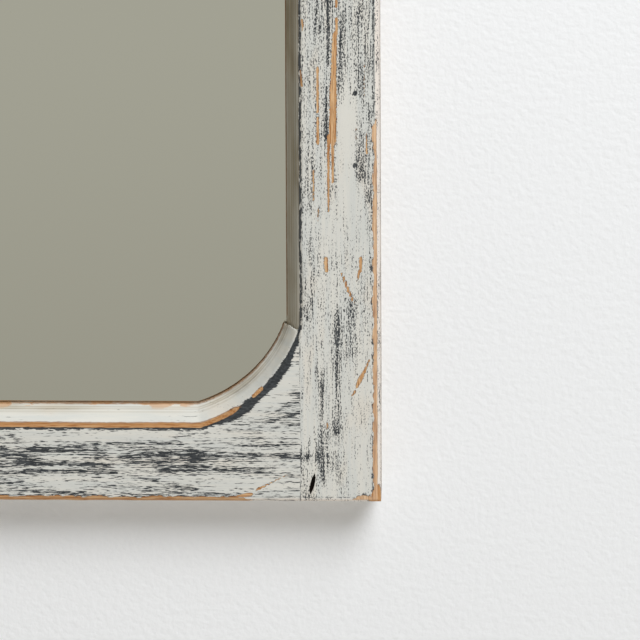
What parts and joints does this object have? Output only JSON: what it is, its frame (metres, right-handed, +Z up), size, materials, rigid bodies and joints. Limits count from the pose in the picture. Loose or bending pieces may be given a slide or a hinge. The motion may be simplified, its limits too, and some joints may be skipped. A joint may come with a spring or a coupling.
{
  "type": "wall mirror",
  "caption": "Rectangular wall mirror in a worn painted wooden frame with bevelled inner edge, curved corner ears, turn buttons on the back and keyhole hangers.",
  "frame": {"origin": "midway between the round entries of the two keyhole plates, on the back face of the frame", "axes": "+X to the viewer's right, +Y from the mirror's face to the wall, +Z up"},
  "size_m": [0.6, 0.029, 0.9],
  "materials": {
    "frame_wood": "greyish white paint brushed over charcoal, worn through to pine at the edges",
    "dowel_wood": "plain beech",
    "mirror": "silvered float glass",
    "board": "hardboard",
    "steel": "zinc plated",
    "rubber": "matt"
  },
  "bodies": {
    "frame": {"backing_board": "board", "bottom_rail": "frame_wood", "dowels_bottom_left": "dowel_wood", "dowels_bottom_right": "dowel_wood", "dowels_top_left": "dowel_wood", "dowels_top_right": "dowel_wood", "hanger_plate_left": "steel", "hanger_plate_right": "steel", "hanger_plate_screws": "steel", "left_stile": "frame_wood", "mirror_glass": "mirror", "right_stile": "frame_wood", "setting_blocks": "rubber", "top_rail": "frame_wood", "turn_button_screws": "steel", "wall_bumper_bottom_left": "rubber", "wall_bumper_bottom_right": "rubber", "wall_bumper_top_left": "rubber", "wall_bumper_top_right": "rubber"},
    "turn_button_bottom_left": {"turn_button_bottom_left": "steel"},
    "turn_button_bottom_right": {"turn_button_bottom_right": "steel"},
    "turn_button_left_lower": {"turn_button_left_lower": "steel"},
    "turn_button_left_upper": {"turn_button_left_upper": "steel"},
    "turn_button_right_lower": {"turn_button_right_lower": "steel"},
    "turn_button_right_upper": {"turn_button_right_upper": "steel"},
    "turn_button_top_left": {"turn_button_top_left": "steel"},
    "turn_button_top_right": {"turn_button_top_right": "steel"}
  },
  "joints": [
    {"name": "turn_button_bottom_left_swing", "type": "hinge", "parent": "frame", "child": "turn_button_bottom_left", "pos_m": [-0.15, 0, -0.7606], "axis": [0, 1, 0], "continuous": true},
    {"name": "turn_button_bottom_right_swing", "type": "hinge", "parent": "frame", "child": "turn_button_bottom_right", "pos_m": [0.15, 0, -0.7606], "axis": [0, 1, 0], "continuous": true},
    {"name": "turn_button_left_lower_swing", "type": "hinge", "parent": "frame", "child": "turn_button_left_lower", "pos_m": [-0.2626, 0, -0.575], "axis": [0, 1, 0], "continuous": true},
    {"name": "turn_button_left_upper_swing", "type": "hinge", "parent": "frame", "child": "turn_button_left_upper", "pos_m": [-0.2626, 0, -0.125], "axis": [0, 1, 0], "continuous": true},
    {"name": "turn_button_right_lower_swing", "type": "hinge", "parent": "frame", "child": "turn_button_right_lower", "pos_m": [0.2626, 0, -0.575], "axis": [0, 1, 0], "continuous": true},
    {"name": "turn_button_right_upper_swing", "type": "hinge", "parent": "frame", "child": "turn_button_right_upper", "pos_m": [0.2626, 0, -0.125], "axis": [0, 1, 0], "continuous": true},
    {"name": "turn_button_top_left_swing", "type": "hinge", "parent": "frame", "child": "turn_button_top_left", "pos_m": [-0.15, 0, 0.0606], "axis": [0, 1, 0], "continuous": true},
    {"name": "turn_button_top_right_swing", "type": "hinge", "parent": "frame", "child": "turn_button_top_right", "pos_m": [0.15, 0, 0.0606], "axis": [0, 1, 0], "continuous": true}
  ]
}
